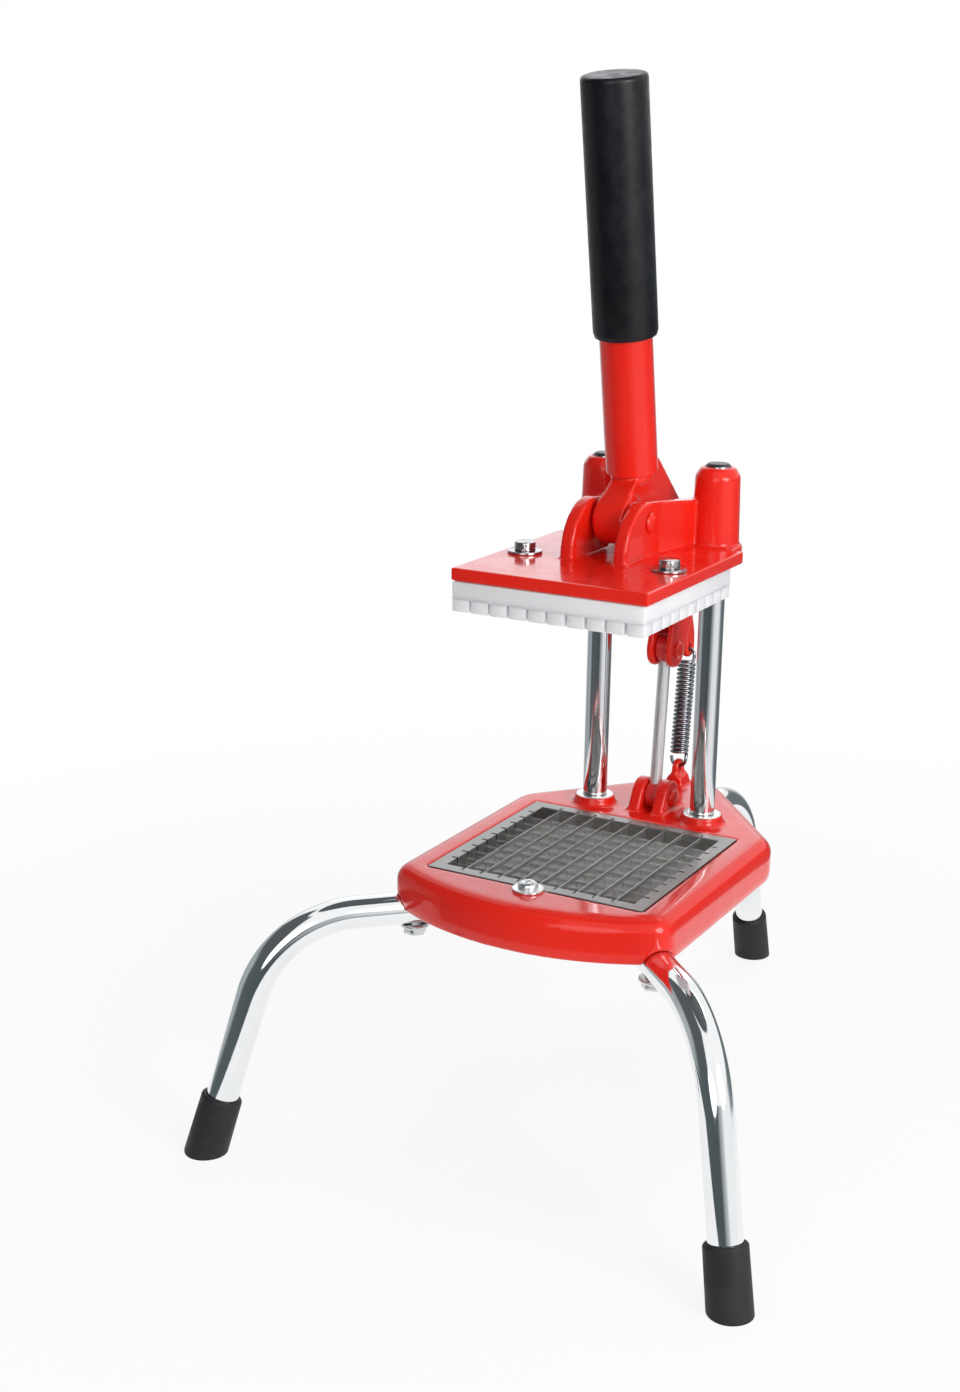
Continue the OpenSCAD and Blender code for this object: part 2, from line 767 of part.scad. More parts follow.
function unit(v) = v / norm(v);
function wire_aim(k) = unit(wire_path[min(k + 1, wire_n - 1)] - wire_path[max(k - 1, 0)]);
function flatten_to(v, aim) = unit(v - (v * aim) * aim);
wire_side = [for (k = 0, f = flatten_to([0, 1, 0], wire_aim(0)); k < wire_n;
    k = k + 1, f = k < wire_n ? flatten_to(f, wire_aim(k)) : f) f];
wire_sides = 6;
wire_points = [for (k = [0:wire_n - 1]) for (j = [0:wire_sides - 1])
    let (a = j * 360 / wire_sides, f = wire_side[k], g = cross(wire_aim(k), f))
    wire_path[k] + wire_d / 2 * (cos(a) * f + sin(a) * g)];
function wire_at(k, j) = k * wire_sides + (j + wire_sides) % wire_sides;
wire_faces = concat(
    [for (k = [0:wire_n - 2]) for (j = [0:wire_sides - 1])
        [wire_at(k, j), wire_at(k + 1, j), wire_at(k, j + 1)]],
    [for (k = [0:wire_n - 2]) for (j = [0:wire_sides - 1])
        [wire_at(k, j + 1), wire_at(k + 1, j), wire_at(k + 1, j + 1)]],
    [for (j = [1:wire_sides - 2]) [0, j, j + 1]],
    [for (j = [1:wire_sides - 2]) [wire_at(wire_n - 1, 0), wire_at(wire_n - 1, j + 1), wire_at(wire_n - 1, j)]]
);
spring_gap = min([for (i = [0:wire_n - 1]) for (j = [i + 5:1:min(i + 40, wire_n - 1)])
    norm(wire_path[i] - wire_path[j])]) - wire_d;
echo(spring_gap = spring_gap, spring_len = spring_len, coil_pitch = coil_pitch);

module return_spring() {
    color("silver")
    placed()
    translate([-cheek_mid, hook_low[0], hook_low[1]]) rotate([-spring_lean, 0, 0])
        polyhedron(wire_points, wire_faces);
}

// Wall of the leg tube, with a little taken off both faces where it runs into the bend
module tube_ring(trim = 0) {
    difference() {
        circle(d = leg_d - 2 * trim);
        circle(d = leg_d - 2 * leg_wall + 2 * trim);
    }
}

// Tube of one leg: level end, bend, sloping end
module leg_tube() {
    trim = 0.03;
    lap = 0.5;
    color("gainsboro")
    difference() {
        union() {
            translate([leg_start, 0, leg_z]) rotate([0, 90, 0]) rotate([0, 0, 45])
                linear_extrude(leg_bend_s - leg_start + lap) tube_ring(trim);
            translate([leg_bend_s, 0, leg_bend_z]) rotate([90, 0, 0]) rotate([0, 0, leg_splay])
                rotate_extrude(angle = leg_turn) translate([leg_bend_r, 0]) tube_ring();
            translate([leg_knee_s, 0, leg_knee_z]) rotate([0, 180 - leg_splay, 0]) rotate([0, 0, 45])
                translate([0, 0, -lap]) linear_extrude(leg_run - foot_floor + lap) tube_ring(trim);
        }
        translate([bolt_s, 0, leg_z - 20]) cylinder(d = 6 + 2 * run_gap, h = 40);
    }
}

// Rubber foot on the sloping end, cut level with the floor
module leg_foot() {
    r = foot_d / 2;
    color("#2c2c30")
    intersection() {
        translate([leg_foot_s, 0, 0]) rotate([0, -leg_splay, 0])
        difference() {
            rotate_extrude() polygon(concat(
                [[0, -4]],
                [for (a = [-90:22.5:0]) [r - foot_round + foot_round * cos(a), foot_round - 4 + foot_round * sin(a)]],
                [[r - 0.4, foot_len - 1], [r - 1.2, foot_len], [0, foot_len]]
            ));
            translate([0, 0, foot_floor]) cylinder(d = leg_d + 2 * run_gap, h = foot_len);
        }
        translate([leg_foot_s - 50, -50, 0]) cube([100, 100, 100]);
    }
}

module front_left_leg() {
    placed() leg_frame(front_hub, -135) leg_tube();
}

module front_right_leg() {
    placed() leg_frame(front_hub, -45) leg_tube();
}

module rear_leg() {
    placed() leg_frame(rear_hub, 90) leg_tube();
}

module front_left_foot() {
    placed() leg_frame(front_hub, -135) leg_foot();
}

module front_right_foot() {
    placed() leg_frame(front_hub, -45) leg_foot();
}

module rear_foot() {
    placed() leg_frame(rear_hub, 90) leg_foot();
}

module leg_bolts() {
    color("silver")
    placed()
    each_leg_frame() translate([bolt_s, 0, 0]) {
        translate([0, 0, leg_z - leg_d / 2 - 5.2]) hexagon(10, 4.2);
        translate([0, 0, leg_z - leg_d / 2 - 1.7]) cylinder(d = 14, h = 1.5);
        translate([0, 0, leg_z - leg_d / 2 - 0.3]) cylinder(d = 6, h = deck_z - deck_t - leg_z + leg_d / 2);
    }
}

base_casting();
blade_frame();
lengthwise_blades();
crosswise_blades();
frame_screw();
frame_washer();
left_post();
right_post();
post_nuts();
head_casting();
pusher_block();
pusher_bolts();
pusher_washers();
pivot_pin();
pivot_clip();
lever_arm();
lever_tube();
lever_grip();
link_rivets();
link_rod();
link_pin();
return_spring();
front_left_leg();
front_right_leg();
rear_leg();
front_left_foot();
front_right_foot();
rear_foot();
leg_bolts();
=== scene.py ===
import bpy
import bmesh
import math
from mathutils import Matrix, Vector


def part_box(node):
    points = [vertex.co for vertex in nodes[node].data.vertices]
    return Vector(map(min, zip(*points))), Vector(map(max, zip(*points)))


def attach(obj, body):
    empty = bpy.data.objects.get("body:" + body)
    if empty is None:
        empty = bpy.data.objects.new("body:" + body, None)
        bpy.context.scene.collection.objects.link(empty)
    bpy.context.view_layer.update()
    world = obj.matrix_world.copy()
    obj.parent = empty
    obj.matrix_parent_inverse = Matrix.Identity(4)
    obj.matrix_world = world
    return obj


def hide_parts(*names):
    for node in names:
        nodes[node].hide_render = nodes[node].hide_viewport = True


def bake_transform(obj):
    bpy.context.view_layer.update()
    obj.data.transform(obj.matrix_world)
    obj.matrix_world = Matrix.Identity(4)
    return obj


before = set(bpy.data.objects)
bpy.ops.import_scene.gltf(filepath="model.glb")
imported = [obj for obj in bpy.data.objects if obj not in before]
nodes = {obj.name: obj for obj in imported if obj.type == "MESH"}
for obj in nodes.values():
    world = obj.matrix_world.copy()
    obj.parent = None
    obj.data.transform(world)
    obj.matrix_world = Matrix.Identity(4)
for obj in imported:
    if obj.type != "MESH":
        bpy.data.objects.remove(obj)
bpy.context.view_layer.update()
mm = 0.001
gridLow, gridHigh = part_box("blade_frame")
gridY = (gridLow[1] + gridHigh[1]) / 2  # middle of the blade grid
print("frame loaded:", len(nodes), "nodes")


def at(x, y, z):  # millimetres from the floor below the blade grid
    return Vector((x * mm, y * mm + gridY, z * mm))


def fullTurn(count):  # evenly spaced angles
    return [2 * math.pi * k / count for k in range(count)]


def bowed(first, bend, last, t):  # a point of the curve from first to last that leans to the bend
    return (1 - t) ** 2 * first + 2 * t * (1 - t) * bend + t * t * last


# node trees

def addNode(tree, kind, values=None, **options):  # the values go on the node's sockets
    node = tree.nodes.new(kind)
    for label, option in options.items():
        setattr(node, label, option)
    for label, value in (values or {}).items():
        node.inputs[label].default_value = value
    return node


def makeTree(kind, name, inputs, outputs):  # a node group with its named sockets
    tree = bpy.data.node_groups.new(name, kind)
    for label, socketKind, value in inputs:
        socket = tree.interface.new_socket(label, in_out="INPUT", socket_type=socketKind)
        if value is not None:
            socket.default_value = value
    for label, socketKind in outputs:
        tree.interface.new_socket(label, in_out="OUTPUT", socket_type=socketKind)
    return tree, tree.nodes.new("NodeGroupInput"), tree.nodes.new("NodeGroupOutput")


def emptyMaterial(name):
    material = bpy.data.materials.new(name)
    material.use_nodes = True
    tree = material.node_tree
    tree.nodes.clear()
    return material, tree, tree.nodes.new("ShaderNodeOutputMaterial")


# shared surface effects

def grainGroup():  # noise in the piece's own space, stretched along an axis where wanted
    tree, into, out = makeTree(
        "ShaderNodeTree", "surfaceGrain",
        [("Scale", "NodeSocketFloat", 100.0), ("Detail", "NodeSocketFloat", 2.0),
         ("Stretch", "NodeSocketVector", (1, 1, 1)), ("Low", "NodeSocketFloat", 0.35),
         ("High", "NodeSocketFloat", 0.65)],
        [("Height", "NodeSocketFloat"), ("Mask", "NodeSocketFloat")])
    link = tree.links.new
    where = addNode(tree, "ShaderNodeTexCoord")
    stretch = addNode(tree, "ShaderNodeVectorMath", operation="MULTIPLY")
    noise = addNode(tree, "ShaderNodeTexNoise")
    span = addNode(tree, "ShaderNodeMapRange", interpolation_type="SMOOTHSTEP")
    link(where.outputs["Object"], stretch.inputs[0])
    link(into.outputs["Stretch"], stretch.inputs[1])
    link(stretch.outputs[0], noise.inputs["Vector"])
    link(into.outputs["Scale"], noise.inputs["Scale"])
    link(into.outputs["Detail"], noise.inputs["Detail"])
    link(noise.outputs["Fac"], span.inputs["Value"])
    link(into.outputs["Low"], span.inputs["From Min"])
    link(into.outputs["High"], span.inputs["From Max"])
    link(noise.outputs["Fac"], out.inputs["Height"])
    link(span.outputs["Result"], out.inputs["Mask"])
    return tree


def edgeGroup():  # picks out raised edges or hollows
    tree, into, out = makeTree(
        "ShaderNodeTree", "edgePick",
        [("Low", "NodeSocketFloat", 0.5), ("High", "NodeSocketFloat", 0.6)],
        [("Mask", "NodeSocketFloat")])
    link = tree.links.new
    shape = addNode(tree, "ShaderNodeNewGeometry")
    span = addNode(tree, "ShaderNodeMapRange", interpolation_type="SMOOTHSTEP")
    link(shape.outputs["Pointiness"], span.inputs["Value"])
    link(into.outputs["Low"], span.inputs["From Min"])
    link(into.outputs["High"], span.inputs["From Max"])
    link(span.outputs["Result"], out.inputs["Mask"])
    return tree


def zoneGroup():  # picks out what lies near a point, an axis or a level, alike on the left and right
    tree, into, out = makeTree(
        "ShaderNodeTree", "zonePick",
        [("Centre", "NodeSocketVector", (0, 0, 0)), ("Stretch", "NodeSocketVector", (1, 1, 1)),
         ("Low", "NodeSocketFloat", 0.01), ("High", "NodeSocketFloat", 0.011)],
        [("Mask", "NodeSocketFloat")])
    link = tree.links.new
    where = addNode(tree, "ShaderNodeTexCoord")
    parts = addNode(tree, "ShaderNodeSeparateXYZ")
    fold = addNode(tree, "ShaderNodeMath", operation="ABSOLUTE")
    folded = addNode(tree, "ShaderNodeCombineXYZ")
    offset = addNode(tree, "ShaderNodeVectorMath", operation="SUBTRACT")
    scaled = addNode(tree, "ShaderNodeVectorMath", operation="MULTIPLY")
    distance = addNode(tree, "ShaderNodeVectorMath", operation="LENGTH")
    span = addNode(tree, "ShaderNodeMapRange", {"To Min": 1.0, "To Max": 0.0},
                   interpolation_type="SMOOTHSTEP")
    link(where.outputs["Object"], parts.inputs[0])
    link(parts.outputs["X"], fold.inputs[0])
    link(fold.outputs[0], folded.inputs["X"])
    link(parts.outputs["Y"], folded.inputs["Y"])
    link(parts.outputs["Z"], folded.inputs["Z"])
    link(folded.outputs[0], offset.inputs[0])
    link(into.outputs["Centre"], offset.inputs[1])
    link(offset.outputs[0], scaled.inputs[0])
    link(into.outputs["Stretch"], scaled.inputs[1])
    link(scaled.outputs[0], distance.inputs[0])
    link(distance.outputs["Value"], span.inputs["Value"])
    link(into.outputs["Low"], span.inputs["From Min"])
    link(into.outputs["High"], span.inputs["From Max"])
    link(span.outputs["Result"], out.inputs["Mask"])
    return tree


surfaceGrain = grainGroup()
edgePick = edgeGroup()
zonePick = zoneGroup()
mixSockets = {"first": 6, "second": 7, "result": 2}  # where a Mix node has its colours


class Finish:
    # one material: two tones, a roughness and a fine bump, with short calls for what else its surface needs
    def __init__(self, name, look):
        self.material, self.tree, out = emptyMaterial(name)
        self.shader = addNode(self.tree, "ShaderNodeBsdfPrincipled", look["sockets"])
        self.link(self.shader.outputs[0], out.inputs["Surface"])
        tone = self.grain(**look["tone"])["Mask"]
        dull = self.grain(**look["dull"])["Mask"] if "dull" in look else tone
        self.colour = self.blend(tone, *look["colours"])
        self.roughness = self.span(dull, *look["roughness"])
        self.bump(self.grain(**look["fine"])["Height"], **look["bump"])

    def link(self, output, socket):
        self.tree.links.new(output, socket)

    def effect(self, group, values):
        return addNode(self.tree, "ShaderNodeGroup", values, node_tree=group).outputs

    def grain(self, scale, detail=2.0, stretch=(1, 1, 1), low=0.35, high=0.65):
        return self.effect(surfaceGrain, {
            "Scale": scale, "Detail": detail, "Stretch": stretch, "Low": low, "High": high})

    def edges(self, low, high):
        return self.effect(edgePick, {"Low": low, "High": high})["Mask"]

    def zone(self, centre, stretch, low, high):  # distances in millimetres
        return self.effect(zonePick, {
            "Centre": centre, "Stretch": stretch, "Low": low * mm, "High": high * mm})["Mask"]

    def join(self, operation, first, second):
        node = addNode(self.tree, "ShaderNodeMath", operation=operation)
        self.link(first, node.inputs[0])
        self.link(second, node.inputs[1])
        return node.outputs[0]

    def blend(self, mask, first, second):  # colours, or sockets that carry them
        mix = addNode(self.tree, "ShaderNodeMix", data_type="RGBA")
        self.link(mask, mix.inputs["Factor"])
        for label, value in (("first", first), ("second", second)):
            socket = mix.inputs[mixSockets[label]]
            if isinstance(value, tuple):
                socket.default_value = (*value, 1.0)
            else:
                self.link(value, socket)
        return mix.outputs[mixSockets["result"]]

    def span(self, mask, low, high):
        node = addNode(self.tree, "ShaderNodeMapRange", {"To Min": low, "To Max": high})
        self.link(mask, node.inputs["Value"])
        return node.outputs["Result"]

    def feed(self, label, output):
        self.link(output, self.shader.inputs[label])

    def bump(self, height, strength, distance):
        node = addNode(self.tree, "ShaderNodeBump", {"Strength": strength, "Distance": distance})
        self.link(height, node.inputs["Height"])
        self.feed("Normal", node.outputs["Normal"])

    def paint(self, mask, colour):  # a further colour over the ones below
        self.colour = self.blend(mask, self.colour, colour)

    def done(self):
        self.feed("Base Color", self.colour)
        self.feed("Roughness", self.roughness)
        return self.material


# finishes

posts = {"x": 30.8, "y": 73.0, "diameter": 12.7, "foot": 9.4, "shoulder": 146.0, "low": 122.0, "top": 327.6,
         "chamfer": 1.2, "edge": 0.4, "crease": 35, "darkTop": (1.2, 1.7),
         "seat": {"radius": (9.7, 10.2), "level": 146.2, "depth": (0.7, 1.0)}}
linkEyes = {"low": (82.0, 147.4), "high": (88.0, 226.0), "radius": (7.0, 7.4)}

enamelLook = {
    "sockets": {"Specular IOR Level": 0.10, "Coat Weight": 0.9, "Coat Roughness": 0.09, "Coat IOR": 1.38},
    "tone": {"scale": 11, "detail": 3, "low": 0.3, "high": 0.7},
    "colours": ((0.74, 0.0150, 0.0075), (0.83, 0.0210, 0.0100)),
    "dull": {"scale": 70, "detail": 4}, "roughness": (0.22, 0.34),
    "fine": {"scale": 240}, "bump": {"strength": 0.07, "distance": 0.0006},  # orange peel
    # painted shade: the hollows are darkened red
    "hollowShade": {"edges": (0.47, 0.40), "colour": (0.42, 0.006, 0.006)},
    # painted highlight: the raised edges are lightened red
    "rim": {"edges": (0.545, 0.66), "colour": (0.86, 0.034, 0.018)},
    "bare": (0.78, 0.77, 0.76)}
chromeLook = {
    "sockets": {"Metallic": 1.0}, "tone": {"scale": 38, "detail": 4, "low": 0.3, "high": 0.75},
    "colours": ((0.85, 0.87, 0.885), (0.91, 0.92, 0.93)), "roughness": (0.045, 0.11),
    "fine": {"scale": 500}, "bump": {"strength": 0.006, "distance": 0.0002}}
postLook = {  # rubbed lengthwise by the sleeves
    "sockets": {"Metallic": 1.0},
    "tone": {"scale": 700, "detail": 3, "stretch": (1, 1, 0.012), "low": 0.4, "high": 0.7},
    "colours": ((0.74, 0.745, 0.765), (0.83, 0.835, 0.85)), "roughness": (0.07, 0.17),
    "fine": {"scale": 1500, "stretch": (1, 1, 0.01)}, "bump": {"strength": 0.02, "distance": 0.0002},
    # the top end is near-black and rougher
    "end": {"colour": (0.10, 0.085, 0.10), "rougher": 0.3}}
zincLook = {
    "sockets": {"Metallic": 1.0}, "tone": {"scale": 160, "detail": 4},
    "colours": ((0.66, 0.67, 0.68), (0.80, 0.80, 0.79)), "roughness": (0.24, 0.40),
    "fine": {"scale": 1400}, "bump": {"strength": 0.05, "distance": 0.0002}}
boltLook = {
    "sockets": {"Metallic": 1.0}, "tone": {"scale": 220, "detail": 4},
    "colours": ((0.40, 0.375, 0.38), (0.56, 0.53, 0.53)), "roughness": (0.10, 0.22),
    "fine": {"scale": 1400}, "bump": {"strength": 0.04, "distance": 0.0002}}
linkLook = {
    "sockets": {"Metallic": 1.0},
    "tone": {"scale": 900, "detail": 3, "stretch": (1, 1, 0.02), "low": 0.35, "high": 0.7},
    "colours": ((0.90, 0.905, 0.91), (0.96, 0.965, 0.97)), "roughness": (0.40, 0.52),
    "fine": {"scale": 1600, "stretch": (1, 1, 0.02)}, "bump": {"strength": 0.03, "distance": 0.0002},
    "eyes": {"colour": (0.62, 0.016, 0.012), "coat": 0.8}}
bladeLook = {
    "sockets": {"Metallic": 1.0},
    "tone": {"scale": 1300, "detail": 3, "stretch": (0.05, 0.05, 1), "low": 0.35, "high": 0.7},
    "colours": ((0.31, 0.30, 0.295), (0.45, 0.44, 0.43)), "roughness": (0.30, 0.46),
    "fine": {"scale": 2200, "stretch": (0.05, 0.05, 1)}, "bump": {"strength": 0.06, "distance": 0.0002},
    "rim": {"edges": (0.56, 0.72), "colour": (0.64, 0.64, 0.63)}}
frameLook = {
    "sockets": {"Metallic": 1.0},
    "tone": {"scale": 1600, "detail": 3, "stretch": (0.03, 1, 1), "low": 0.35, "high": 0.7},
    "colours": ((0.25, 0.245, 0.235), (0.35, 0.345, 0.335)), "roughness": (0.32, 0.46),
    "fine": {"scale": 2400, "stretch": (0.03, 1, 1)}, "bump": {"strength": 0.06, "distance": 0.0002}}
plasticLook = {
    "sockets": {"Subsurface Weight": 0.5, "Subsurface Radius": (1.0, 1.0, 1.0), "Subsurface Scale": 0.008},
    "tone": {"scale": 25, "detail": 3}, "colours": ((0.83, 0.84, 0.87), (0.87, 0.88, 0.905)),
    "dull": {"scale": 120, "detail": 3}, "roughness": (0.34, 0.46),
    "fine": {"scale": 900}, "bump": {"strength": 0.05, "distance": 0.0002}}
vinylLook = {
    "sockets": {"Specular IOR Level": 0.30},
    "tone": {"scale": 45, "detail": 3}, "colours": ((0.0045, 0.0045, 0.0065), (0.0085, 0.0085, 0.0115)),
    "dull": {"scale": 160, "detail": 4}, "roughness": (0.28, 0.40),
    "fine": {"scale": 1100, "detail": 3}, "bump": {"strength": 0.16, "distance": 0.0003}}
rubberLook = {
    "sockets": {"Specular IOR Level": 0.35}, "tone": {"scale": 90, "detail": 4},
    "colours": ((0.010, 0.010, 0.012), (0.019, 0.019, 0.022)), "roughness": (0.50, 0.68),
    "fine": {"scale": 1300, "detail": 3}, "bump": {"strength": 0.18, "distance": 0.0003}}
springLook = {
    "sockets": {"Metallic": 1.0}, "tone": {"scale": 300, "detail": 3},
    "colours": ((0.17, 0.18, 0.20), (0.31, 0.325, 0.35)), "roughness": (0.16, 0.30),
    "fine": {"scale": 2600}, "bump": {"strength": 0.04, "distance": 0.0001}}


def enamelFinish(name, seats=False):  # the seats of the posts are machined bare
    finish = Finish(name, enamelLook)
    for place in ("hollowShade", "rim"):  # painted shade: darker red in the hollows; painted highlight: lighter red on the rims
        finish.paint(finish.edges(*enamelLook[place]["edges"]), enamelLook[place]["colour"])
    if seats:
        seat = posts["seat"]
        circle = finish.zone(at(posts["x"], posts["y"], 0), (1, 1, 0), *seat["radius"])
        level = finish.zone(at(0, 0, seat["level"]), (0, 0, 1), *seat["depth"])
        bare = finish.join("MULTIPLY", circle, level)
        finish.paint(bare, enamelLook["bare"])
        finish.feed("Metallic", bare)
        finish.feed("Coat Weight", finish.span(bare, enamelLook["sockets"]["Coat Weight"], 0.0))
    return finish.done()


def postFinish():  # the top ends are near-black and rougher
    finish = Finish("polishedPost", postLook)
    end = finish.zone(at(0, 0, posts["top"]), (0, 0, 1), *posts["darkTop"])
    finish.paint(end, postLook["end"]["colour"])
    finish.roughness = finish.join("ADD", finish.roughness, finish.span(end, 0.0, postLook["end"]["rougher"]))
    return finish.done()


def linkFinish():  # the eyes are painted
    finish = Finish("linkSteel", linkLook)
    low, high = (finish.zone(at(0, *linkEyes[end]), (0, 1, 1), *linkEyes["radius"])
                 for end in ("low", "high"))
    eyes = finish.join("MAXIMUM", low, high)
    finish.paint(eyes, linkLook["eyes"]["colour"])
    finish.feed("Metallic", finish.span(eyes, 1.0, 0.0))
    finish.feed("Coat Weight", finish.span(eyes, 0.0, linkLook["eyes"]["coat"]))
    return finish.done()


def bladeFinish():  # ground bright along the edges
    finish = Finish("bladeSteel", bladeLook)
    finish.paint(finish.edges(*bladeLook["rim"]["edges"]), bladeLook["rim"]["colour"])
    return finish.done()


redEnamel = enamelFinish("redEnamel")
deckEnamel = enamelFinish("deckEnamel", True)
chromeTube = Finish("chromeTube", chromeLook).done()
polishedPost = postFinish()
zincPlate = Finish("zincPlate", zincLook).done()
boltSteel = Finish("boltSteel", boltLook).done()
linkSteel = linkFinish()
bladeSteel = bladeFinish()
frameSteel = Finish("frameSteel", frameLook).done()
whitePlastic = Finish("whitePlastic", plasticLook).done()
blackVinyl = Finish("blackVinyl", vinylLook).done()
footRubber = Finish("footRubber", rubberLook).done()
springWire = Finish("springWire", springLook).done()
print("finishes ready")


# shared ways to make a piece

merging = {"distance": 1e-6, "flatAngle": 0.002}
sharpAngle = 32  # edges with a sharper turn get a bevel


def addObject(name, data):
    thing = bpy.data.objects.new(name, data)
    bpy.context.scene.collection.objects.link(thing)
    return thing


def newPiece(name, verts, faces):
    mesh = bpy.data.meshes.new(name)
    mesh.from_pydata([tuple(v) for v in verts], [], faces)
    return addObject(name, mesh)


def reshape(mesh, work):
    shape = bmesh.new()
    shape.from_mesh(mesh)
    work(shape)
    shape.to_mesh(mesh)
    shape.free()


def faceOutwards(shape):
    bmesh.ops.recalc_face_normals(shape, faces=shape.faces)


def mergeFlat(shape):
    bmesh.ops.remove_doubles(shape, verts=shape.verts, dist=merging["distance"])
    bmesh.ops.dissolve_limit(shape, angle_limit=merging["flatAngle"], verts=shape.verts, edges=shape.edges)


def mergedCopy(nodeName, name):
    mesh = nodes[nodeName].data.copy()
    mesh.materials.clear()
    reshape(mesh, mergeFlat)
    return addObject(name, mesh)


def settle(piece):  # applies the modifiers, so that the mesh is plain
    bpy.context.view_layer.update()
    done = piece.evaluated_get(bpy.context.evaluated_depsgraph_get())
    mesh = bpy.data.meshes.new_from_object(done)
    piece.modifiers.clear()
    piece.data = mesh
    return piece


def shadeSmooth(piece, angle=None):
    for face in piece.data.polygons:
        face.use_smooth = True
    if angle:
        piece.data.set_sharp_from_angle(angle=math.radians(angle))
    return piece


def put(piece, body, slotName, material, *replaced):
    piece.data.materials.clear()
    piece.data.materials.append(material)
    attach(piece, body)
    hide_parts(*replaced)
    return piece


def castSkin(nodeName, name, voxel, rounds, cutter=None):  # rounds edges and fills corners as a casting does
    piece = mergedCopy(nodeName, name)
    if cutter:
        room = piece.modifiers.new("room", "BOOLEAN")
        room.solver = "EXACT"
        room.object = cutter
        settle(piece)
        bpy.data.objects.remove(cutter)
    skin = piece.modifiers.new("skin", "REMESH")
    skin.mode = "VOXEL"
    skin.voxel_size = voxel * mm
    skin.use_smooth_shade = True
    soften = piece.modifiers.new("soften", "SMOOTH")
    soften.factor = 0.5
    soften.iterations = rounds
    settle(piece)
    return shadeSmooth(piece)


def bevelled(nodeName, name, width, above=0.0, angle=34):  # edges below the given level stay square
    def bevel(shape):
        sharp = [e for e in shape.edges if e.is_manifold and e.calc_face_angle() > math.radians(sharpAngle)
                 and all(v.co.z > above * mm for v in e.verts)]
        bmesh.ops.bevel(shape, geom=sharp, offset=width * mm, segments=2, profile=0.5, affect="EDGES",
                        clamp_overlap=True)

    piece = mergedCopy(nodeName, name)
    reshape(piece.data, bevel)
    return shadeSmooth(piece, angle)


def turned(name, profile, place, sides=72):  # profile as (radius, height) in mm, ending on the axis or a ring
    verts, faces, rows = [], [], []
    for radius, height in profile:
        first = len(verts)
        if radius == 0:
            verts.append(place @ Vector((0, 0, height * mm)))
        else:
            verts += [place @ Vector((radius * mm * math.cos(a), radius * mm * math.sin(a), height * mm))
                      for a in fullTurn(sides)]
        rows.append(range(first, len(verts)))
    ringed = profile[0][0] > 0
    for low, high in zip(rows, rows[1:] + rows[:1] if ringed else rows[1:]):
        for k in range(sides):
            j = (k + 1) % sides
            if len(low) == 1:
                faces.append((low[0], high[j], high[k]))
            elif len(high) == 1:
                faces.append((low[k], low[j], high[0]))
            else:
                faces.append((low[k], low[j], high[j], high[k]))
    piece = newPiece(name, verts, faces)
    reshape(piece.data, faceOutwards)
    return piece


def rounded(corners, radius, steps=5):  # rounds the corners of a profile
    mostOfSide = 0.45
    line = [tuple(Vector(corners[0]))]
    for before, corner, after in zip(corners, corners[1:], corners[2:]):
        point = Vector(corner)
        back, ahead = Vector(before) - point, Vector(after) - point
        reach = min(radius, back.length * mostOfSide, ahead.length * mostOfSide)
        start, end = point + back.normalized() * reach, point + ahead.normalized() * reach
        line += [tuple(bowed(start, point, end, s / steps)) for s in range(steps + 1)]
    return line + [tuple(Vector(corners[-1]))]


def sweep(name, path, radius, sides, bore=0.0):  # round section carried along a path, without twist
    count = len(path)
    side, rings = None, []
    for k in range(count):
        aim = (path[min(k + 1, count - 1)] - path[max(k - 1, 0)]).normalized()
        if side is None:
            side = aim.orthogonal()
        side = (side - side.dot(aim) * aim).normalized()
        rings.append((path[k], side.copy(), aim.cross(side)))
    verts, faces = [], []
    radii = [radius, bore] if bore else [radius]
    for r in radii:
        for centre, first, second in rings:
            verts += [centre + r * (math.cos(a) * first + math.sin(a) * second) for a in fullTurn(sides)]
    layerSize = count * sides
    for layer in range(len(radii)):
        for k in range(count - 1):
            p = layer * layerSize + k * sides
            for j in range(sides):
                i = (j + 1) % sides
                quad = (p + j, p + i, p + sides + i, p + sides + j)
                faces.append(quad if layer == 0 else quad[::-1])
    last = (count - 1) * sides
    if bore:
        for j in range(sides):
            i = (j + 1) % sides
            faces.append((layerSize + j, layerSize + i, i, j))
            faces.append((last + j, last + i, layerSize + last + i, layerSize + last + j))
    else:
        faces.append(tuple(range(sides - 1, -1, -1)))
        faces.append(tuple(range(last, last + sides)))
    return newPiece(name, verts, faces)


# castings: base, head and lever arm

castings = {"base": {"voxel": 0.95, "rounds": 9}, "head": {"voxel": 0.8, "rounds": 9},
            "arm": {"voxel": 0.62, "rounds": 22}}
springEye = {"hole": (130.0, 217.0), "radius": 5.6, "room": 5.3, "swing": 187.9, "last": 365.0, "lead": 3.0,
             "reach": 44.0, "drop": 22.0, "left": -9.0, "right": -2.0, "steps": 32}


